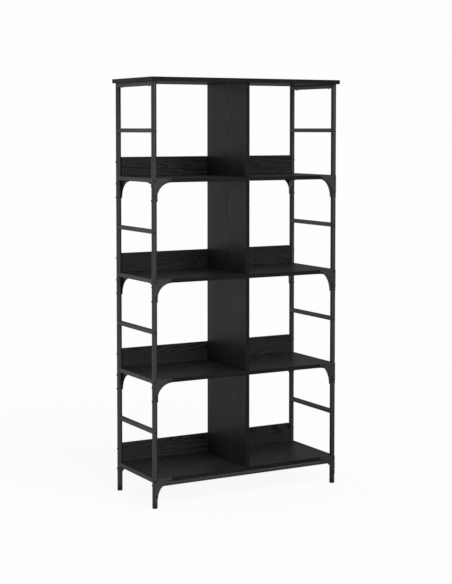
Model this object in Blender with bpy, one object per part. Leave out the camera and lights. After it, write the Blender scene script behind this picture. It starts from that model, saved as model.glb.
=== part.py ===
"""Open bookcase: five oak-look boards held between two ladder-like steel side frames.

Four tiers, each split by an upright divider and closed at the back by a low board.
World frame: +X to the right, +Y to the back, +Z up, origin on the floor under the middle.
Everything is in metres.
"""

import math

import bmesh
import bpy
from mathutils import Matrix, Vector

# Overall size
WIDTH = 0.785
DEPTH = 0.330
HEIGHT = 1.530

# Boards
BOARD = 0.015
TOP_OVERHANG_X = 0.016
TOP_OVERHANG_Y = 0.0185
SHELF_COUNT = 4
TIER_PITCH = 0.3557
SHELF_HALF_DEPTH = 0.154
BACK_BOARD_HEIGHT = 0.0703

# Round posts and their foot caps
POST_RADIUS = 0.0095
POST_WALL = 0.0010
POST_SEGMENTS = 32
FOOT_HEIGHT = 0.022
FOOT_ROUND = 0.0025
FOOT_PLUG_RADIUS = 0.0082
FOOT_PLUG_HEIGHT = 0.014

# Square bars: rungs, side rails and the two rails under the bottom shelf
BAR = 0.015
BAR_WALL = 0.0010
BAR_CORNER = 0.0015
BAR_CORNER_STEPS = 3
BOTTOM_BAR_HEIGHT = 0.014
RUNG_RISE = 0.168

# Corner brackets: distances are measured inwards from the post's axis
PLATE = 0.0015
PLATE_OUTER = 0.0055
FACE_ARC_RADIUS = 0.056
FACE_ARC_START = 0.0068
SIDE_ARC_RADIUS = 0.0640
SIDE_ARC_START = 0.0065
SIDE_TIP_HEIGHT = 0.0032
PLATE_TIP_ROUND = 0.0030
CORNER_DROP = 0.036
ARC_STEPS = 14
TAB_WIDTH = 0.014
TAB_START = 0.014

# Space left between touching pieces
GAP = 0.0003

POST_X = WIDTH / 2 - TOP_OVERHANG_X
POST_Y = DEPTH / 2 - TOP_OVERHANG_Y
PANEL_UNDERSIDE = HEIGHT - BOARD
POST_TOP = PANEL_UNDERSIDE - GAP
BOARD_HALF_LENGTH = POST_X - POST_RADIUS - GAP
BACK_BOARD_REAR = POST_Y + POST_RADIUS - GAP
BACK_BOARD_FRONT = BACK_BOARD_REAR - BOARD
PLATE_NEAR = POST_RADIUS + GAP
PLATE_MIDDLE = PLATE_NEAR + PLATE / 2
PLATE_FAR = PLATE_NEAR + PLATE

SIDES = {"left": -1, "right": 1}
ENDS = {"front": -1, "rear": 1}


def shelf_top(level):
    """Height of the upper face of a shelf; level 1 is the lowest, level 5 the top panel."""
    return HEIGHT - (SHELF_COUNT + 1 - level) * TIER_PITCH


def clear_scene():
    for item in list(bpy.data.objects):
        bpy.data.objects.remove(item, do_unlink=True)


def make_material(name, colour, roughness, metallic):
    material = bpy.data.materials.new(name)
    material.use_nodes = True
    shader = material.node_tree.nodes["Principled BSDF"]
    shader.inputs["Base Color"].default_value = (*colour, 1.0)
    shader.inputs["Roughness"].default_value = roughness
    shader.inputs["Metallic"].default_value = metallic
    material.diffuse_color = (*colour, 1.0)
    return material


def mesh_from_bmesh(name, bm, smooth_angle=None):
    """Closes a bmesh into a mesh with its faces pointing out."""
    bmesh.ops.recalc_face_normals(bm, faces=bm.faces)
    mesh = bpy.data.meshes.new(name)
    bm.to_mesh(mesh)
    bm.free()
    if smooth_angle is not None:
        mesh.shade_smooth()
        mesh.set_sharp_from_angle(angle=smooth_angle)
    return mesh


def add_object(name, mesh, material, location=(0, 0, 0), rotation=(0, 0, 0), parent=None):
    if not mesh.materials:
        mesh.materials.append(material)
    item = bpy.data.objects.new(name, mesh)
    item.location = location
    item.rotation_euler = rotation
    item.parent = parent
    bpy.context.scene.collection.objects.link(item)
    return item


def box_mesh(name, low, high):
    bm = bmesh.new()
    bmesh.ops.create_cube(bm, size=1.0)
    low, high = Vector(low), Vector(high)
    for vert in bm.verts:
        vert.co = Vector((low[i] + (vert.co[i] + 0.5) * (high[i] - low[i]) for i in range(3)))
    return mesh_from_bmesh(name, bm)


def circle_loop(radius, segments):
    angles = [2 * math.pi * i / segments for i in range(segments)]
    return [(radius * math.cos(a), radius * math.sin(a)) for a in angles]


def rounded_rectangle_loop(width, height, corner, steps):
    """Outline of a rectangle with round corners, anticlockwise from the +X+Y corner."""
    points = []
    for quarter, (sx, sy) in enumerate(((1, 1), (-1, 1), (-1, -1), (1, -1))):
        centre = (sx * (width / 2 - corner), sy * (height / 2 - corner))
        for step in range(steps + 1):
            angle = math.radians(90 * (quarter + step / steps))
            points.append((
                centre[0] + corner * math.cos(angle),
                centre[1] + corner * math.sin(angle),
            ))
    return points


def hollow_prism_mesh(name, outer, inner, length, smooth_angle):
    """Tube along +Z, open at both ends, between two outlines with as many points each."""
    bm = bmesh.new()
    loops = []
    for outline, z in ((outer, 0.0), (outer, length), (inner, length), (inner, 0.0)):
        loops.append([bm.verts.new((x, y, z)) for x, y in outline])
    count = len(outer)
    for ring, next_ring in zip(loops, loops[1:] + loops[:1]):
        for i in range(count):
            j = (i + 1) % count
            bm.faces.new((ring[i], ring[j], next_ring[j], next_ring[i]))
    return mesh_from_bmesh(name, bm, smooth_angle)


def turned_mesh(name, profile, segments):
    """Body turned about +Z from (radius, height) points; the first and last lie on the axis."""
    bm = bmesh.new()
    bottom = bm.verts.new((0, 0, profile[0][1]))
    top = bm.verts.new((0, 0, profile[-1][1]))
    rings = []
    for radius, z in profile[1:-1]:
        rings.append([bm.verts.new((x, y, z)) for x, y in circle_loop(radius, segments)])
    for i in range(segments):
        j = (i + 1) % segments
        bm.faces.new((bottom, rings[0][j], rings[0][i]))
        for ring, next_ring in zip(rings, rings[1:]):
            bm.faces.new((ring[i], ring[j], next_ring[j], next_ring[i]))
        bm.faces.new((top, rings[-1][i], rings[-1][j]))
    return mesh_from_bmesh(name, bm, math.radians(40))


def prism_bmesh(outline, place):
    """Plate with the given outline; place turns an outline point and a side into a position."""
    bm = bmesh.new()
    near = [bm.verts.new(place(u, w, 0)) for u, w in outline]
    far = [bm.verts.new(place(u, w, 1)) for u, w in outline]
    bm.faces.new(near)
    bm.faces.new(far)
    for i in range(len(outline)):
        j = (i + 1) % len(outline)
        bm.faces.new((near[i], near[j], far[j], far[i]))
    return bm


def arc(centre, radius, start, end, steps):
    """Points on an arc, both ends included; angles in degrees."""
    points = []
    for step in range(steps + 1):
        angle = math.radians(start + (end - start) * step / steps)
        points.append((
            centre[0] + radius * math.cos(angle),
            centre[1] + radius * math.sin(angle),
        ))
    return points


def face_plate_outline():
    """Front or rear plate: heights are measured from the shelf's underside."""
    tip = FACE_ARC_START + FACE_ARC_RADIUS
    r = PLATE_TIP_ROUND
    outline = [(-PLATE_OUTER, BOARD), (tip, BOARD)]
    outline += arc((tip, -FACE_ARC_RADIUS), FACE_ARC_RADIUS, 90, 180, ARC_STEPS)
    outline += arc((-PLATE_OUTER + r, -FACE_ARC_RADIUS + r), r, 270, 180, 3)
    return outline


def side_plate_outline():
    """Plate in the side frame's plane, hanging from the shelf's underside."""
    top = -GAP
    tip = SIDE_ARC_START + SIDE_ARC_RADIUS
    centre = (tip, top - SIDE_TIP_HEIGHT - SIDE_ARC_RADIUS)
    r = PLATE_TIP_ROUND
    outline = [(-PLATE_MIDDLE, top), (tip, top)]
    outline += arc(centre, SIDE_ARC_RADIUS, 90, 180, ARC_STEPS)
    outline += arc((-PLATE_OUTER + r, centre[1] + r), r, 270, 180, 3)
    outline += [(-PLATE_OUTER, -CORNER_DROP), (-PLATE_MIDDLE, -CORNER_DROP)]
    return outline


def face_plate_bmesh(side, end):
    """Plate on the outer face of a post, about the post's axis at the shelf's underside."""
    def place(u, w, layer):
        return (-side * u, end * (PLATE_NEAR + layer * PLATE), w)

    return prism_bmesh(face_plate_outline(), place)


def side_plate_bmesh(side, end):
    """Plate on the inner side of a post, about the same point."""
    def place(u, w, layer):
        return (-side * (PLATE_NEAR + layer * PLATE), -end * u, w)

    return prism_bmesh(side_plate_outline(), place)


def tab_bmesh(side, end):
    """Ledge folded inwards from the side plate, which the shelf rests on."""
    tip = SIDE_ARC_START + SIDE_ARC_RADIUS
    outline = [(TAB_START, -GAP), (tip, -GAP), (tip, -GAP - PLATE), (TAB_START, -GAP - PLATE)]

    def place(u, w, layer):
        return (-side * (PLATE_MIDDLE + layer * TAB_WIDTH), -end * u, w)

    return prism_bmesh(outline, place)


def joined_mesh(name, parts):
    """One body from several overlapping ones."""
    helpers = []
    for i, bm in enumerate(parts):
        mesh = mesh_from_bmesh(f"{name}_{i}", bm)
        helper = bpy.data.objects.new(f"{name}_{i}", mesh)
        bpy.context.scene.collection.objects.link(helper)
        helpers.append(helper)
    base = helpers[0]
    for helper in helpers[1:]:
        union = base.modifiers.new("union", "BOOLEAN")
        union.operation = "UNION"
        union.solver = "EXACT"
        union.object = helper
    depsgraph = bpy.context.evaluated_depsgraph_get()
    joined = bpy.data.meshes.new_from_object(base.evaluated_get(depsgraph))
    joined.name = name
    for helper in helpers:
        mesh = helper.data
        bpy.data.objects.remove(helper, do_unlink=True)
        bpy.data.meshes.remove(mesh)
    return joined


def build_boards(material, parent):
    top = box_mesh(
        "top_panel",
        (-WIDTH / 2, -DEPTH / 2, -BOARD / 2),
        (WIDTH / 2, DEPTH / 2, BOARD / 2),
    )
    add_object("top_panel", top, material, (0, 0, HEIGHT - BOARD / 2), parent=parent)

    shelf = box_mesh(
        "shelf",
        (-BOARD_HALF_LENGTH, -SHELF_HALF_DEPTH, -BOARD),
        (BOARD_HALF_LENGTH, SHELF_HALF_DEPTH, 0),
    )
    divider = box_mesh(
        "divider",
        (-BOARD / 2, -SHELF_HALF_DEPTH, GAP),
        (BOARD / 2, BACK_BOARD_FRONT - GAP, TIER_PITCH - BOARD - GAP),
    )
    back_board = box_mesh(
        "back_board",
        (-BOARD_HALF_LENGTH, BACK_BOARD_FRONT, GAP),
        (BOARD_HALF_LENGTH, BACK_BOARD_REAR, BACK_BOARD_HEIGHT),
    )
    for level in range(1, SHELF_COUNT + 1):
        place = (0, 0, shelf_top(level))
        add_object(f"shelf_{level}", shelf, material, place, parent=parent)
        add_object(f"divider_{level}", divider, material, place, parent=parent)
        add_object(f"back_board_{level}", back_board, material, place, parent=parent)


def build_posts(steel, plastic, parent):
    tube = hollow_prism_mesh(
        "post",
        circle_loop(POST_RADIUS, POST_SEGMENTS),
        circle_loop(POST_RADIUS - POST_WALL, POST_SEGMENTS),
        POST_TOP - FOOT_HEIGHT,
        math.radians(40),
    )
    flange_top = FOOT_HEIGHT - GAP
    profile = [(0, 0)]
    profile += arc((POST_RADIUS - FOOT_ROUND, FOOT_ROUND), FOOT_ROUND, -90, 0, 4)
    profile += [
        (POST_RADIUS, flange_top),
        (FOOT_PLUG_RADIUS, flange_top),
        (FOOT_PLUG_RADIUS, flange_top + FOOT_PLUG_HEIGHT),
        (0, flange_top + FOOT_PLUG_HEIGHT),
    ]
    foot = turned_mesh("foot", profile, POST_SEGMENTS)
    for side, sx in SIDES.items():
        for end, sy in ENDS.items():
            x, y = sx * POST_X, sy * POST_Y
            add_object(f"post_{end}_{side}", tube, steel, (x, y, FOOT_HEIGHT), parent=parent)
            add_object(f"foot_cap_{end}_{side}", foot, plastic, (x, y, 0), parent=parent)


def post_cutters(parent):
    """Clearance cylinders round the posts, which shape the ends of the bars."""
    cutters = {}
    for side, sx in SIDES.items():
        for end, sy in ENDS.items():
            bm = bmesh.new()
            bmesh.ops.create_cone(
                bm,
                cap_ends=True,
                segments=POST_SEGMENTS,
                radius1=POST_RADIUS + GAP,
                radius2=POST_RADIUS + GAP,
                depth=HEIGHT,
                matrix=Matrix.Translation((0, 0, HEIGHT / 2)),
            )
            mesh = mesh_from_bmesh("post_clearance", bm)
            cutter = bpy.data.objects.new(f"clearance_{end}_{side}", mesh)
            cutter.location = (sx * POST_X, sy * POST_Y, 0)
            cutter.hide_render = True
            cutter.display_type = "WIRE"
            cutter.parent = parent
            bpy.context.scene.collection.objects.link(cutter)
            cutters[end, side] = cutter
    return cutters


def add_bar(name, mesh, material, location, rotation, cutters, parent):
    bar = add_object(name, mesh, material, location, rotation, parent)
    for cutter in cutters:
        cope = bar.modifiers.new("cope", "BOOLEAN")
        cope.operation = "DIFFERENCE"
        cope.solver = "EXACT"
        cope.object = cutter


def bar_mesh(name, width, height, length):
    outer = rounded_rectangle_loop(width, height, BAR_CORNER, BAR_CORNER_STEPS)
    inner = rounded_rectangle_loop(
        width - 2 * BAR_WALL,
        height - 2 * BAR_WALL,
        BAR_CORNER - BAR_WALL,
        BAR_CORNER_STEPS,
    )
    return hollow_prism_mesh(name, outer, inner, length, math.radians(40))


def build_bars(material, cutters, parent):
    along_y = (-math.pi / 2, 0, 0)
    along_x = (math.pi / 2, 0, math.pi / 2)
    side_bar = bar_mesh("side_bar", BAR, BAR, 2 * POST_Y)
    long_bar = bar_mesh("long_bar", BAR, BOTTOM_BAR_HEIGHT, 2 * POST_X)
    for side, sx in SIDES.items():
        heights = {"side_rail_top": PANEL_UNDERSIDE - GAP - BAR / 2}
        for level in range(1, SHELF_COUNT + 1):
            heights[f"side_rail_{level}"] = shelf_top(level) - BAR / 2
            heights[f"rung_{level}"] = shelf_top(level) + RUNG_RISE
        ends = [cutters["front", side], cutters["rear", side]]
        for name, z in heights.items():
            place = (sx * POST_X, -POST_Y, z)
            add_bar(f"{name}_{side}", side_bar, material, place, along_y, ends, parent)
    z = shelf_top(1) - BOARD - GAP - BOTTOM_BAR_HEIGHT / 2
    for end, sy in ENDS.items():
        ends = [cutters[end, "left"], cutters[end, "right"]]
        place = (-POST_X, sy * POST_Y, z)
        add_bar(f"bottom_rail_{end}", long_bar, material, place, along_x, ends, parent)


def build_brackets(material, parent):
    for side, sx in SIDES.items():
        for end, sy in ENDS.items():
            flat = mesh_from_bmesh("leg_bracket", face_plate_bmesh(sx, sy))
            place = Vector((sx * POST_X, sy * POST_Y, shelf_top(1) - BOARD))
            add_object(f"leg_bracket_{end}_{side}", flat, material, place, parent=parent)
            parts = (face_plate_bmesh(sx, sy), side_plate_bmesh(sx, sy), tab_bmesh(sx, sy))
            corner = joined_mesh("corner_bracket", parts)
            for level in range(2, SHELF_COUNT + 1):
                place.z = shelf_top(level) - BOARD
                name = f"bracket_{level}_{end}_{side}"
                add_object(name, corner, material, place, parent=parent)


def main():
    clear_scene()
    oak = make_material("black_oak_board", (0.022, 0.022, 0.023), 0.55, 0.0)
    steel = make_material("black_powder_coated_steel", (0.040, 0.040, 0.042), 0.45, 0.3)
    plastic = make_material("black_plastic", (0.018, 0.018, 0.019), 0.5, 0.0)
    bookcase = bpy.data.objects.new("bookcase", None)
    bpy.context.scene.collection.objects.link(bookcase)
    build_boards(oak, bookcase)
    build_posts(steel, plastic, bookcase)
    build_bars(steel, post_cutters(bookcase), bookcase)
    build_brackets(steel, bookcase)


main()
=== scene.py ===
"""Looks of the open bookcase: its boards, tubes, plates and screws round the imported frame."""

import math
import random

import bmesh
import bpy
import numpy as np
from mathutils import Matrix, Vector


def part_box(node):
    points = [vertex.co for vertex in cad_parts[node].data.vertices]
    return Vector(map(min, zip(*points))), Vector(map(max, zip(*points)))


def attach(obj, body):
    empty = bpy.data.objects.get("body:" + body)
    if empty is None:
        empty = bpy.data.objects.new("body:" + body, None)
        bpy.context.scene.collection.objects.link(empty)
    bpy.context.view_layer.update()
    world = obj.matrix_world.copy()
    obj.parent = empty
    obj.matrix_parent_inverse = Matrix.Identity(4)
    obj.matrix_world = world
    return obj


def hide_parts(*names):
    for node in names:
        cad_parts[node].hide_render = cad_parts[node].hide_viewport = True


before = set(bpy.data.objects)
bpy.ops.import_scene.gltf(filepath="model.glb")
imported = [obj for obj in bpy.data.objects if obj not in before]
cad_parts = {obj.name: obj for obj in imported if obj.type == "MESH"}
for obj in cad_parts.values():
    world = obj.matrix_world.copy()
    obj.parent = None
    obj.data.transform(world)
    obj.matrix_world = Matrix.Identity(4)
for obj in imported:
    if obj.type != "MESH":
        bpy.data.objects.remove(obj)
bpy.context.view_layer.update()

ROOT = "root"
UP = Vector((0, 0, 1))

LEVELS = (1, 2, 3, 4)
SIDES = {"left": -1, "right": 1}
ENDS = {"front": -1, "rear": 1}

# Boards
BOARD_ROUND = 0.0007
RING_STOPS = (
    (0.0, 0.56), (0.25, 0.56), (0.46, 0.34), (0.60, 0.06), (0.76, 0.04), (0.88, 0.88), (1.0, 0.56),
)

# Tubes and welds
POST_SEGMENTS = 48
POST_WALL = 0.0012
POST_ROUND = 0.0003
TUBE_CORNER = 0.0016
TUBE_STEPS = 4
COPE_STEPS = 8
WELD = 0.0013
WELD_SINK = 0.0006

# Foot caps: a sleeve that carries on the post's line, with a step at its top
CAP_TOP = 0.0217
CAP_ROUND = 0.0025
CAP_RECESS = 0.0010
CAP_RECESS_RADIUS = 0.0050
CAP_STEP = 0.0003
CAP_WALL = 0.0016

# Plates: outlines are measured inwards from the post's axis and up from the shelf's underside
PLATE = 0.0015
PLATE_ROUND = 0.00035
PLATE_CORNER = 0.003
PLATE_NICK = 0.001
GAP = 0.0003
ARC_STEPS = 22
FACE_ARC_RADIUS = 0.056
FACE_ARC_START = 0.0068
SIDE_ARC_RADIUS = 0.0640
SIDE_ARC_START = 0.0065
SIDE_TIP_HEIGHT = 0.0032
PLATE_OUTER = 0.0055
TAB_WIDTH = 0.014
TAB_START = 0.016

# Screws: button heads with a hexagon socket
HEAD_RADIUS = 0.0034
HEAD_HEIGHT = 0.0021
SOCKET_RADIUS = 0.0014
SOCKET_DEPTH = 0.0013

# Screw places: rises and drops from the board, rung or rail that each one goes with
TIP_SCREW = 0.0545
PLATE_SCREW_RISE = 0.0057
PLATE_SCREW_DROP = 0.0478
SIDE_SCREW_DROPS = (0.0130, 0.0636)
RUNG_SCREW_DROP = 0.0015
RAIL_SCREW_DROP = 0.001
BACK_BOARD_SCREW_RISE = 0.0515
TOP_SCREW_INSET = 0.035

# Studio
BACKDROP = 0.985
FLOOR_GLOW = 0.918
FLOOR_PALE = 0.16
# Painted light: the floor's glow for light rays only, brighter on the left, dim on the right and
# far off
FLOOR_LEFT = 0.50
FLOOR_RIGHT = 0.01
FLOOR_FAR = 0.16
ROOM_FRONT_LEFT = 0.055
ROOM_FRONT_RIGHT = 0.117
ROOM_BACK_LEFT = 0.456
ROOM_BACK_RIGHT = 0.145
ROOM_ABOVE = 0.155
KEY_TOWARDS = (0.11, -1.10, 0.72)
KEY_STRENGTH = 1.37
KEY_SPREAD = 65

# Camera
CAMERA_PLACE = (-2.5833, -4.5878, 1.3476)
CAMERA_TILT = 3.529
CAMERA_TURN = 29.340
CAMERA_LENS = 87.10
CAMERA_SHIFT = -0.13


# ---------------------------------------------------------------- materials

def node(tree, kind, inputs=None, **settings):
    """Adds a node; inputs maps a socket's name or number to a value or another node's output."""
    made = tree.nodes.new(kind)
    for key, value in settings.items():
        setattr(made, key, value)
    for socket, source in (inputs or {}).items():
        if isinstance(source, bpy.types.NodeSocket):
            tree.links.new(source, made.inputs[socket])
        else:
            made.inputs[socket].default_value = source
    return made


def calc(tree, operation, a, b=0.0):
    return node(tree, "ShaderNodeMath", {0: a, 1: b}, operation=operation).outputs[0]


def noise(tree, vector, scale, detail=3.0, rough=0.5):
    made = node(
        tree,
        "ShaderNodeTexNoise",
        {"Vector": vector, "Scale": scale, "Detail": detail, "Roughness": rough},
    )
    return made.outputs["Fac"]


def stretch(tree, vector, scale):
    made = node(tree, "ShaderNodeMapping", {"Vector": vector, "Scale": scale})
    return made.outputs["Vector"]


def ramp(tree, fac, stops):
    """Ramp of greys from (position, grey) pairs."""
    made = node(tree, "ShaderNodeValToRGB", {"Fac": fac})
    elements = made.color_ramp.elements
    while len(elements) < len(stops):
        elements.new(0.5)
    for element, (position, colour) in zip(elements, stops):
        element.position = position
        element.color = (colour, colour, colour, 1)
    return made.outputs["Color"]


def mix(tree, fac, a, b, blend="MIX"):
    made = node(tree, "ShaderNodeMix", data_type="RGBA", blend_type=blend)
    for socket, source in ((0, fac), (6, a), (7, b)):
        if isinstance(source, bpy.types.NodeSocket):
            tree.links.new(source, made.inputs[socket])
        else:
            made.inputs[socket].default_value = source
    return made.outputs[2]


def grey(level):
    return (level, level, level, 1)


def fade(tree, value, start, end):
    """Smooth step from 0 at start to 1 at end."""
    made = node(
        tree,
        "ShaderNodeMapRange",
        {"Value": value, "From Min": start, "From Max": end},
        interpolation_type="SMOOTHSTEP",
    )
    return made.outputs["Result"]


def start_material(name):
    material = bpy.data.materials.new(name)
    material.use_nodes = True
    tree = material.node_tree
    shader = tree.nodes["Principled BSDF"]
    return material, tree, shader


def oak_material(name, light, dark, contrast, roughness, sheen):
    """Black oak laminate: growth rings seen as arches, fine streaks and short pores."""
    material, tree, shader = start_material(name)
    grain = node(tree, "ShaderNodeAttribute", attribute_name="grain").outputs["Vector"]
    parts = node(tree, "ShaderNodeSeparateXYZ", {0: grain}).outputs

    # Rings round a core that is nearly parallel to the board
    drift = noise(tree, stretch(tree, grain, (2.8, 13.0, 13.0)), 1.0, 1.0, 0.5)
    ripple = noise(tree, stretch(tree, grain, (9.0, 38.0, 38.0)), 1.0, 3.0, 0.55)
    core_depth = calc(tree, "ADD", calc(tree, "MULTIPLY", parts[0], 0.028), 0.008)
    offset = node(tree, "ShaderNodeCombineXYZ", {0: parts[1], 1: core_depth, 2: parts[2]})
    radius = node(tree, "ShaderNodeVectorMath", {0: offset.outputs[0]}, operation="LENGTH")
    rings = calc(tree, "MULTIPLY", radius.outputs["Value"], 170.0)
    phase = calc(tree, "ADD", rings, calc(tree, "MULTIPLY", drift, 8.0))
    phase = calc(tree, "ADD", phase, calc(tree, "MULTIPLY", ripple, 1.9))
    ring = calc(tree, "FRACT", phase)
    ring_tone = ramp(tree, ring, RING_STOPS)
    figure = noise(tree, stretch(tree, grain, (3.0, 16.0, 16.0)), 1.0, 2.0, 0.5)
    figure_depth = ramp(tree, figure, ((0.34, 0.25), (0.52, 1.0)))
    ring_tone = mix(tree, figure_depth, grey(0.52), ring_tone)

    streak = noise(tree, stretch(tree, grain, (6.0, 240.0, 240.0)), 1.0, 4.0, 0.6)
    streak_tone = ramp(tree, streak, ((0.32, 0.0), (0.62, 1.0)))
    pores = noise(tree, stretch(tree, grain, (70.0, 1500.0, 1500.0)), 1.0, 1.0, 0.5)
    pore_tone = ramp(tree, pores, ((0.38, 0.0), (0.46, 1.0)))

    tone = mix(tree, 0.20, ring_tone, streak_tone)
    tone = mix(tree, contrast, (1, 1, 1, 1), tone)
    tone = mix(tree, 0.30, tone, pore_tone, "MULTIPLY")
    base = mix(tree, tone, (*dark, 1), (*light, 1))
    patch = noise(tree, stretch(tree, grain, (1.5, 6.0, 6.0)), 1.0, 2.0, 0.5)
    cloud = ramp(tree, patch, ((0.3, 0.70), (0.7, 1.0)))
    base = mix(tree, 1.0, base, cloud, "MULTIPLY")
    tree.links.new(base, shader.inputs["Base Color"])

    rough = node(
        tree,
        "ShaderNodeMapRange",
        {"Value": tone, "To Min": roughness + 0.12, "To Max": roughness},
    )
    tree.links.new(rough.outputs["Result"], shader.inputs["Roughness"])
    relief = mix(tree, 0.5, tone, pore_tone)
    bump = node(
        tree,
        "ShaderNodeBump",
        {"Height": relief, "Strength": 0.35, "Distance": 0.0003},
    )
    tree.links.new(bump.outputs["Normal"], shader.inputs["Normal"])
    shader.inputs["Specular IOR Level"].default_value = sheen
    return material


def steel_material():
    """Black powder coat: fine orange-peel relief and a slightly uneven sheen."""
    material, tree, shader = start_material("black_powder_coat")
    place = node(tree, "ShaderNodeTexCoord").outputs["Object"]
    peel = noise(tree, place, 900.0, 3.0, 0.6)
    cloud = noise(tree, place, 14.0, 3.0, 0.55)
    colour = mix(tree, cloud, (0.031, 0.031, 0.032, 1), (0.041, 0.041, 0.042, 1))
    speck = ramp(tree, peel, ((0.35, 0.82), (0.60, 1.0)))
    colour = mix(tree, 1.0, colour, speck, "MULTIPLY")
    tree.links.new(colour, shader.inputs["Base Color"])
    rough = node(
        tree,
        "ShaderNodeMapRange",
        {"Value": cloud, "From Min": 0.3, "From Max": 0.7, "To Min": 0.40, "To Max": 0.50},
    )
    tree.links.new(rough.outputs["Result"], shader.inputs["Roughness"])
    bump = node(
        tree,
        "ShaderNodeBump",
        {"Height": peel, "Strength": 0.22, "Distance": 0.0002},
    )
    tree.links.new(bump.outputs["Normal"], shader.inputs["Normal"])
    shader.inputs["Specular IOR Level"].default_value = 1.0
    return material


def screw_material():
    """Black oxide steel, darker than the powder coat."""
    material, tree, shader = start_material("black_oxide")
    place = node(tree, "ShaderNodeTexCoord").outputs["Object"]
    cloud = noise(tree, place, 420.0, 3.0, 0.6)
    colour = mix(tree, cloud, (0.003, 0.003, 0.003, 1), (0.008, 0.008, 0.008, 1))
    tree.links.new(colour, shader.inputs["Base Color"])
    rough = node(
        tree,
        "ShaderNodeMapRange",
        {"Value": cloud, "To Min": 0.28, "To Max": 0.46},
    )
    tree.links.new(rough.outputs["Result"], shader.inputs["Roughness"])
    bump = node(tree, "ShaderNodeBump", {"Height": cloud, "Strength": 0.15, "Distance": 0.0001})
    tree.links.new(bump.outputs["Normal"], shader.inputs["Normal"])
    shader.inputs["Specular IOR Level"].default_value = 0.35
    return material


def plastic_material():
    """Black moulded plastic with a fine spark-eroded texture."""
    material, tree, shader = start_material("black_moulded_plastic")
    place = node(tree, "ShaderNodeTexCoord").outputs["Object"]
    texture = noise(tree, place, 1400.0, 2.0, 0.6)
    cloud = noise(tree, place, 60.0, 2.0, 0.5)
    colour = mix(tree, cloud, (0.018, 0.018, 0.019, 1), (0.026, 0.026, 0.027, 1))
    tree.links.new(colour, shader.inputs["Base Color"])
    rough = node(
        tree,
        "ShaderNodeMapRange",
        {"Value": texture, "To Min": 0.48, "To Max": 0.62},
    )
    tree.links.new(rough.outputs["Result"], shader.inputs["Roughness"])
    bump = node(tree, "ShaderNodeBump", {"Height": texture, "Strength": 0.25, "Distance": 0.0001})
    tree.links.new(bump.outputs["Normal"], shader.inputs["Normal"])
    return material


OAK = oak_material(
    "black_oak_laminate", (0.100, 0.100, 0.101), (0.0, 0.0, 0.0), 1.0, 0.25, 0.18,
)
BAND = oak_material(
    "black_oak_edge_band", (0.030, 0.030, 0.0305), (0.003, 0.003, 0.003), 0.8, 0.36, 0.23,
)
STEEL = steel_material()
OXIDE = screw_material()
PLASTIC = plastic_material()


# ---------------------------------------------------------------- mesh helpers

def add_piece(name, bm, materials, nodes=(), sharp=40):
    """Turns a bmesh in row coordinates into a piece that rides on the frame."""
    bmesh.ops.recalc_face_normals(bm, faces=bm.faces)
    mesh = bpy.data.meshes.new(name)
    bm.to_mesh(mesh)
    bm.free()
    mesh.shade_smooth()
    mesh.set_sharp_from_angle(angle=math.radians(sharp))
    for material in materials:
        mesh.materials.append(material)
    piece = bpy.data.objects.new(name, mesh)
    bpy.context.scene.collection.objects.link(piece)
    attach(piece, ROOT)
    if nodes:
        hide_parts(*nodes)
    return piece


def weigh_normals(piece):
    """Keeps flat faces flat beside their rounded edges."""
    modifier = piece.modifiers.new("flat_faces", "WEIGHTED_NORMAL")
    modifier.weight = 100
    modifier.keep_sharp = True


def centre(node_name):
    low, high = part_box(node_name)
    return (low + high) / 2


def loft(bm, rings, closed_ends=True):
    """Skins a list of closed rings with as many points each; returns the rings of vertices."""
    made = [[bm.verts.new(point) for point in ring] for ring in rings]
    count = len(rings[0])
    for a, b in zip(made, made[1:]):
        for i in range(count):
            j = (i + 1) % count
            bm.faces.new((a[i], a[j], b[j], b[i]))
    if closed_ends:
        bm.faces.new(list(reversed(made[0])))
        bm.faces.new(made[-1])
    return made


def turned_rings(profile, segments, origin, axis):
    """Rings about an axis through origin, from (radius, distance along the axis) pairs."""
    turn = UP.rotation_difference(Vector(axis)).to_matrix()
    rings = []
    for radius, along in profile:
        ring = []
        for i in range(segments):
            angle = 2 * math.pi * i / segments
            local = Vector((radius * math.cos(angle), radius * math.sin(angle), along))
            ring.append(Vector(origin) + turn @ local)
        rings.append(ring)
    return rings


def arc(centre_point, radius, start, end, steps):
    points = []
    for step in range(steps + 1):
        angle = math.radians(start + (end - start) * step / steps)
        points.append((
            centre_point[0] + radius * math.cos(angle),
            centre_point[1] + radius * math.sin(angle),
        ))
    return points


# ---------------------------------------------------------------- boards

def board(node_name, along, thin, seed):
    """Board with softened edges. along and thin are the axes of the grain and the thickness."""
    low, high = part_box(node_name)
    bm = bmesh.new()
    bmesh.ops.create_cube(bm, size=1.0)
    for vert in bm.verts:
        vert.co = Vector((low[i] + (vert.co[i] + 0.5) * (high[i] - low[i]) for i in range(3)))
    bmesh.ops.bevel(
        bm,
        geom=bm.edges,
        offset=BOARD_ROUND,
        offset_type="OFFSET",
        segments=3,
        profile=0.5,
        affect="EDGES",
    )
    piece = add_piece(f"{node_name}_laminated", bm, (OAK, BAND), (node_name,), 60)
    mesh = piece.data
    rng = random.Random(seed)
    start = Vector((rng.uniform(0.0, 2.5), rng.uniform(-0.05, 0.05), rng.uniform(0.0, 0.02)))
    middle = (low + high) / 2
    size = high - low
    grain = mesh.attributes.new("grain", "FLOAT_VECTOR", "CORNER")
    values = np.zeros((len(mesh.loops), 3), np.float32)
    for face in mesh.polygons:
        facing = max(range(3), key=lambda i: abs(face.normal[i]))
        face.material_index = 0 if facing == thin else 1
        if facing == thin:
            run = along
        else:
            run = max((i for i in range(3) if i != facing), key=lambda i: size[i])
        cross = 3 - facing - run
        shift = 0.4 * facing
        for loop in face.loop_indices:
            p = mesh.vertices[mesh.loops[loop].vertex_index].co - middle
            values[loop] = (
                p[run] + start[0] + shift,
                p[cross] + start[1],
                p[facing] + start[2],
            )
    grain.data.foreach_set("vector", values.ravel())
    weigh_normals(piece)
    return piece


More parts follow.
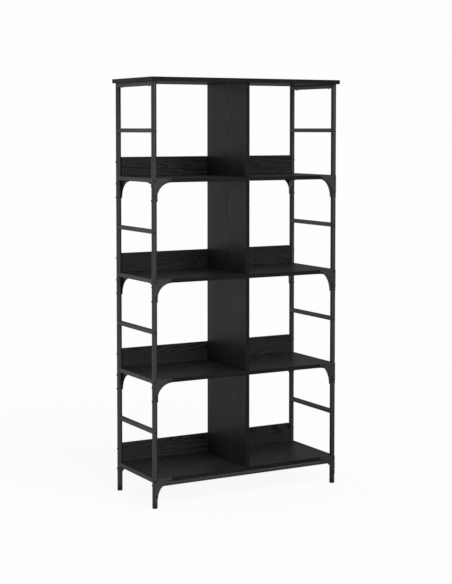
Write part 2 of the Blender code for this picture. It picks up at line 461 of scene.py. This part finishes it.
def build_boards():
    board("top_panel", 0, 2, 11)
    for level in LEVELS:
        board(f"shelf_{level}", 0, 2, 20 + level)
        board(f"divider_{level}", 2, 0, 30 + level)
        board(f"back_board_{level}", 0, 1, 40 + level)


# ---------------------------------------------------------------- posts and feet

def build_posts():
    for side in SIDES:
        for end in ENDS:
            node_name = f"post_{end}_{side}"
            low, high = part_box(node_name)
            radius = (high.x - low.x) / 2
            inner = radius - POST_WALL
            soft = POST_ROUND
            length = high.z - low.z
            profile = (
                (inner, soft), (inner + soft, 0), (radius - soft, 0), (radius, soft),
                (radius, length - soft), (radius - soft, length), (inner + soft, length),
                (inner, length - soft),
            )
            base = Vector(((low.x + high.x) / 2, (low.y + high.y) / 2, low.z))
            bm = bmesh.new()
            rings = loft(bm, turned_rings(profile, POST_SEGMENTS, base, UP), False)
            first, last = rings[0], rings[-1]
            for i in range(POST_SEGMENTS):
                j = (i + 1) % POST_SEGMENTS
                bm.faces.new((last[i], last[j], first[j], first[i]))
            add_piece(f"tube_{end}_{side}", bm, (STEEL,), (node_name,))

            cap = f"foot_cap_{end}_{side}"
            low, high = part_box(cap)
            base = Vector(((low.x + high.x) / 2, (low.y + high.y) / 2, low.z))
            profile = [
                (0.0004, CAP_RECESS), (CAP_RECESS_RADIUS, CAP_RECESS),
                (CAP_RECESS_RADIUS + 0.0006, 0.0),
            ]
            profile += arc((radius - CAP_ROUND, CAP_ROUND), CAP_ROUND, -90, 0, 6)
            profile += [
                (radius, CAP_TOP - 4 * CAP_STEP), (radius - CAP_STEP, CAP_TOP - 2 * CAP_STEP),
                (radius - CAP_STEP, CAP_TOP), (radius - CAP_WALL, CAP_TOP),
                (radius - CAP_WALL, high.z - 0.001), (radius - CAP_WALL - 0.001, high.z),
            ]
            bm = bmesh.new()
            loft(bm, turned_rings(profile, POST_SEGMENTS, base, UP))
            add_piece(f"glide_{end}_{side}", bm, (PLASTIC,), (cap,))


# ---------------------------------------------------------------- square tubes

def tube_section(width, height):
    """Rounded square outline with extra points on the walls that meet a post's curve."""
    points = []
    corner = TUBE_CORNER
    half_w, half_h = width / 2, height / 2
    for quarter, (sx, sz) in enumerate(((1, 1), (-1, 1), (-1, -1), (1, -1))):
        middle = (sx * (half_w - corner), sz * (half_h - corner))
        for u, w in arc(middle, corner, 90 * quarter, 90 * (quarter + 1), TUBE_STEPS):
            points.append((u, w))
        if quarter % 2 == 0:
            span = half_w - corner
            for step in range(1, COPE_STEPS):
                points.append((sx * span * (1 - 2 * step / COPE_STEPS), sz * half_h))
    return points


def outward(points):
    """Unit normals of a closed outline that runs anticlockwise."""
    normals = []
    count = len(points)
    for i in range(count):
        (ax, ay), (bx, by) = points[i - 1], points[(i + 1) % count]
        length = math.hypot(bx - ax, by - ay)
        normals.append(((by - ay) / length, -(bx - ax) / length))
    return normals


def welded_tube(node_name, name, along, post_radius):
    """Square tube between two posts, its ends shaped to them, with a small weld fillet."""
    low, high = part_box(node_name)
    across = 1 - along
    section = tube_section(high[across] - low[across], high.z - low.z)
    normals = outward(section)
    middle = (low + high) / 2
    posts = {}
    for sign in (-1, 1):
        near = middle.copy()
        near[along] = high[along] if sign > 0 else low[along]
        posts[sign] = min(POST_AXES, key=lambda p: (p.x - near.x) ** 2 + (p.y - near.y) ** 2)

    def ring(sign, grow, back, sink=0.0):
        """Outline on a post's surface, grown outwards and moved back along the tube."""
        made = []
        post = posts[sign]
        for (u, w), (nu, nw) in zip(section, normals):
            across_at = u + nu * grow
            from_axis = across_at + middle[across] - post[across]
            reach = math.sqrt(max((post_radius - sink) ** 2 - from_axis ** 2, 0))
            point = Vector((0, 0, middle.z + w + nw * grow))
            point[across] = middle[across] + across_at
            point[along] = post[along] - sign * (reach + back)
            made.append(point)
        return made

    rings = [
        ring(-1, WELD, 0, WELD_SINK),
        ring(-1, WELD, 0),
        ring(-1, WELD * 0.35, WELD * 0.30),
        ring(-1, 0, WELD),
        ring(1, 0, WELD),
        ring(1, WELD * 0.35, WELD * 0.30),
        ring(1, WELD, 0),
        ring(1, WELD, 0, WELD_SINK),
    ]
    bm = bmesh.new()
    loft(bm, rings)
    return add_piece(name, bm, (STEEL,), (node_name,), 50)


def build_bars():
    low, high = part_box("post_front_left")
    radius = (high.x - low.x) / 2
    for side in SIDES:
        welded_tube(f"side_rail_top_{side}", f"upper_rail_{side}", 1, radius)
        for level in LEVELS:
            welded_tube(f"side_rail_{level}_{side}", f"shelf_rail_{level}_{side}", 1, radius)
            welded_tube(f"rung_{level}_{side}", f"side_bar_{level}_{side}", 1, radius)
    for end in ENDS:
        welded_tube(f"bottom_rail_{end}", f"long_rail_{end}", 0, radius)


# ---------------------------------------------------------------- plates

def plate_piece(name, outline, place, nodes):
    """Plate with softened edges; place turns an outline point and a depth into a position."""
    bm = bmesh.new()
    near = [bm.verts.new(place(u, w, 0.0)) for u, w in outline]
    far = [bm.verts.new(place(u, w, PLATE)) for u, w in outline]
    faces = [bm.faces.new(near), bm.faces.new(far)]
    for i in range(len(outline)):
        j = (i + 1) % len(outline)
        bm.faces.new((near[i], near[j], far[j], far[i]))
    bmesh.ops.recalc_face_normals(bm, faces=bm.faces)
    rims = {edge for face in faces for edge in face.edges}
    bmesh.ops.bevel(
        bm,
        geom=list(rims),
        offset=PLATE_ROUND,
        offset_type="OFFSET",
        segments=2,
        profile=0.5,
        affect="EDGES",
    )
    piece = add_piece(name, bm, (STEEL,), nodes, 50)
    weigh_normals(piece)
    return piece


def face_plate_outline(top):
    tip = FACE_ARC_START + FACE_ARC_RADIUS
    r = PLATE_CORNER
    nick = PLATE_NICK
    outline = [(-PLATE_OUTER + nick, top), (tip - nick, top), (tip, top - nick)]
    outline += arc((tip, -FACE_ARC_RADIUS), FACE_ARC_RADIUS, 90, 180, ARC_STEPS)
    outline += arc((FACE_ARC_START - nick, -FACE_ARC_RADIUS), nick, 0, -90, 2)[1:]
    outline += arc((-PLATE_OUTER + r, -FACE_ARC_RADIUS - nick + r), r, 270, 180, 5)
    outline += [(-PLATE_OUTER, top - nick)]
    return outline


def side_plate_outline(top):
    tip = SIDE_ARC_START + SIDE_ARC_RADIUS
    middle = (tip, top - SIDE_TIP_HEIGHT - SIDE_ARC_RADIUS)
    r = PLATE_CORNER
    outline = [(-PLATE_OUTER + PLATE_NICK, top), (tip, top)]
    outline += arc(middle, SIDE_ARC_RADIUS, 90, 180, ARC_STEPS)
    outline += arc((-PLATE_OUTER + r, middle[1] + r), r, 270, 180, 5)
    outline += [(-PLATE_OUTER, top - PLATE_NICK)]
    return outline


def tab_piece(name, sx, sy, post, z, inner):
    """Ledge folded out of the side plate along its top, with the fold's bend."""
    rings = []
    tip = SIDE_ARC_START + SIDE_ARC_RADIUS
    section = [
        (0.0, -PLATE - 0.001), (0.0, 0.0), (TAB_WIDTH - 0.001, 0.0), (TAB_WIDTH, -0.0005),
        (TAB_WIDTH, -PLATE + 0.0005), (TAB_WIDTH - 0.001, -PLATE), (0.0022, -PLATE),
        (PLATE, -PLATE - 0.0006), (PLATE, -PLATE - 0.001),
    ]
    for along in (TAB_START, tip - 0.0008):
        rings.append([
            Vector((post.x - sx * (inner + u), post.y - sy * along, z + w)) for u, w in section
        ])
    bm = bmesh.new()
    loft(bm, rings)
    return add_piece(name, bm, (STEEL,), (), 50)


def build_plates():
    for side, sx in SIDES.items():
        for end, sy in ENDS.items():
            post = POST_BY_NAME[end, side]
            for level in LEVELS:
                kind = "leg_bracket" if level == 1 else f"bracket_{level}"
                node_name = f"{kind}_{end}_{side}"
                low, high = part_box(node_name)
                shelf_low, shelf_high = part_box(f"shelf_{level}")
                z = shelf_low.z
                outer = abs(high.y if sy > 0 else low.y) - abs(post.y)

                def face_place(u, w, depth, post=post, sx=sx, sy=sy, z=z, outer=outer):
                    return Vector((post.x - sx * u, post.y + sy * (outer - depth), z + w))

                plate_piece(
                    f"face_plate_{level}_{end}_{side}",
                    face_plate_outline(shelf_high.z - shelf_low.z),
                    face_place,
                    (node_name,),
                )
                if level == 1:
                    continue
                inner = POST_RADIUS + GAP

                def side_place(u, w, depth, post=post, sx=sx, sy=sy, z=z, inner=inner):
                    return Vector((post.x - sx * (inner + depth), post.y - sy * u, z + w))

                plate_piece(
                    f"side_plate_{level}_{end}_{side}",
                    side_plate_outline(-GAP),
                    side_place,
                    (node_name,),
                )
                tab_piece(f"ledge_{level}_{end}_{side}", sx, sy, post, z - GAP, inner)


# ---------------------------------------------------------------- screws

def screw(bm, point, axis, radius=HEAD_RADIUS, height=HEAD_HEIGHT):
    """Button head standing on point, facing along axis, with a hexagon socket."""
    dome = [(radius, -0.0004), (radius, height * 0.28)]
    for step in range(1, 6):
        angle = math.radians(90 * step / 6)
        dome.append((
            SOCKET_RADIUS * 1.25 + (radius - SOCKET_RADIUS * 1.25) * math.cos(angle),
            height * (0.28 + 0.72 * math.sin(angle)),
        ))
    dome += [(SOCKET_RADIUS * 1.25, height)]
    dome += [(SOCKET_RADIUS * 1.12, height - 0.0001)]
    rings = turned_rings(dome, 24, point, axis)
    turn = UP.rotation_difference(Vector(axis)).to_matrix()
    for depth in (0.0, SOCKET_DEPTH):
        ring = []
        for i in range(24):
            angle = 2 * math.pi * i / 24
            sector = (angle + math.pi / 6) % (math.pi / 3) - math.pi / 6
            reach = SOCKET_RADIUS * math.cos(math.pi / 6) / math.cos(sector)
            floor_z = height - 0.00015 - depth
            local = Vector((reach * math.cos(angle), reach * math.sin(angle), floor_z))
            ring.append(Vector(point) + turn @ local)
        rings.append(ring)
    made = loft(bm, rings, False)
    bm.faces.new(list(reversed(made[0])))
    bm.faces.new(made[-1])


def build_screws():
    for side, sx in SIDES.items():
        for end, sy in ENDS.items():
            post = POST_BY_NAME[end, side]
            bm = bmesh.new()
            low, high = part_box(f"bracket_2_{end}_{side}")
            face_y = high.y if sy > 0 else low.y
            for level in LEVELS:
                shelf_low, shelf_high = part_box(f"shelf_{level}")
                z = shelf_low.z
                screw(bm, (post.x, face_y, z + PLATE_SCREW_RISE), (0, sy, 0))
                tip_x = post.x - sx * TIP_SCREW
                screw(bm, (tip_x, face_y, z + PLATE_SCREW_RISE), (0, sy, 0))
                screw(bm, (post.x, face_y, z - PLATE_SCREW_DROP), (0, sy, 0))
                rung_z = centre(f"rung_{level}_{side}").z - RUNG_SCREW_DROP
                screw(bm, (post.x, post.y + sy * POST_RADIUS, rung_z), (0, sy, 0))
                outer_x = post.x + sx * POST_RADIUS
                if level > 1:
                    for drop in SIDE_SCREW_DROPS:
                        screw(bm, (outer_x, post.y, z - drop), (sx, 0, 0))
                else:
                    rail_z = centre("bottom_rail_front").z - RAIL_SCREW_DROP
                    screw(bm, (outer_x, post.y, rail_z), (sx, 0, 0))
                if end == "rear":
                    back_z = shelf_high.z + BACK_BOARD_SCREW_RISE
                    screw(bm, (outer_x, post.y, back_z), (sx, 0, 0))
            rail_low, rail_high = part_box(f"side_rail_top_{side}")
            screw(bm, (post.x, post.y - sy * TOP_SCREW_INSET, rail_low.z), (0, 0, -1))
            add_piece(f"screws_{end}_{side}", bm, (OXIDE,), (), 35)


POST_BY_NAME = {
    (end, side): Vector((centre(f"post_{end}_{side}").x, centre(f"post_{end}_{side}").y, 0))
    for end in ENDS for side in SIDES
}
POST_AXES = list(POST_BY_NAME.values())
POST_RADIUS = (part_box("post_front_left")[1].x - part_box("post_front_left")[0].x) / 2

build_boards()
build_posts()
build_bars()
build_plates()
build_screws()


# ---------------------------------------------------------------- studio

def camera_only(tree, seen, other):
    """Shader that the camera sees one way and the light another, like a cut-out backdrop."""
    path = node(tree, "ShaderNodeLightPath")
    return node(
        tree,
        "ShaderNodeMixShader",
        {0: path.outputs["Is Camera Ray"], 1: other, 2: seen},
    ).outputs[0]


def build_floor():
    bm = bmesh.new()
    bmesh.ops.create_circle(bm, cap_ends=True, segments=96, radius=60.0)
    mesh = bpy.data.meshes.new("floor")
    bm.to_mesh(mesh)
    bm.free()
    material, tree, shader = start_material("pale_floor")
    tree.nodes.remove(shader)
    glow = node(tree, "ShaderNodeEmission", {"Color": (1, 1, 1, 1), "Strength": FLOOR_GLOW})
    pale = node(tree, "ShaderNodeBsdfDiffuse", {"Color": grey(FLOOR_PALE)})
    seen = node(tree, "ShaderNodeAddShader", {0: glow.outputs[0], 1: pale.outputs[0]})
    place = node(tree, "ShaderNodeTexCoord").outputs["Object"]
    across = node(tree, "ShaderNodeSeparateXYZ", {0: place}).outputs[0]
    away = node(tree, "ShaderNodeVectorMath", {0: place}, operation="LENGTH").outputs["Value"]
    right = mix(tree, fade(tree, away, 2.5, 6.0), grey(FLOOR_RIGHT), grey(FLOOR_FAR))
    # Painted light: for light rays the floor glows, brighter on the left and dim on the right, in
    # place of light it would bounce onto the bookcase
    painted_bounce = mix(tree, fade(tree, across, 1.0, -1.6), right, grey(FLOOR_LEFT))
    lit = node(tree, "ShaderNodeEmission", {"Color": painted_bounce})
    surface = camera_only(tree, seen.outputs[0], lit.outputs[0])
    tree.links.new(surface, tree.nodes["Material Output"].inputs["Surface"])
    mesh.materials.append(material)
    floor = bpy.data.objects.new("floor", mesh)
    bpy.context.scene.collection.objects.link(floor)


def soft_sun(name, towards, strength, spread):
    """Even light from one side; towards points at it, and spread is its width in degrees."""
    data = bpy.data.lights.new(name, "SUN")
    data.energy = strength
    data.angle = math.radians(spread)
    light = bpy.data.objects.new(name, data)
    light.rotation_euler = Vector(towards).to_track_quat("Z", "Y").to_euler()
    bpy.context.scene.collection.objects.link(light)


def build_world():
    """Dim studio, brightest behind on the left; the camera sees it as a pale backdrop."""
    world = bpy.data.worlds.new("studio")
    world.use_nodes = True
    tree = world.node_tree
    tree.nodes.remove(tree.nodes["Background"])
    facing = node(tree, "ShaderNodeTexCoord").outputs["Generated"]
    parts = node(tree, "ShaderNodeSeparateXYZ", {0: facing}).outputs
    back = fade(tree, parts[1], -0.5, 0.5)
    right = mix(tree, back, grey(ROOM_FRONT_RIGHT), grey(ROOM_BACK_RIGHT))
    left = mix(tree, back, grey(ROOM_FRONT_LEFT), grey(ROOM_BACK_LEFT))
    walls = mix(tree, fade(tree, parts[0], 0.5, -0.5), right, left)
    light = mix(tree, fade(tree, parts[2], 0.2, 0.9), walls, grey(ROOM_ABOVE))
    room = node(tree, "ShaderNodeBackground", {"Color": light})
    backdrop = node(tree, "ShaderNodeBackground", {"Color": grey(1), "Strength": BACKDROP})
    surface = camera_only(tree, backdrop.outputs[0], room.outputs[0])
    tree.links.new(surface, tree.nodes["World Output"].inputs["Surface"])
    bpy.context.scene.world = world


def build_camera():
    data = bpy.data.cameras.new("camera")
    data.lens = CAMERA_LENS
    data.sensor_width = 36.0
    data.shift_y = CAMERA_SHIFT
    data.clip_end = 200
    camera = bpy.data.objects.new("camera", data)
    camera.location = CAMERA_PLACE
    camera.rotation_euler = (math.radians(90 - CAMERA_TILT), 0, math.radians(-CAMERA_TURN))
    bpy.context.scene.collection.objects.link(camera)
    bpy.context.scene.camera = camera


build_floor()
build_world()
soft_sun("key", KEY_TOWARDS, KEY_STRENGTH, KEY_SPREAD)
build_camera()
bpy.context.scene.view_settings.view_transform = "Standard"
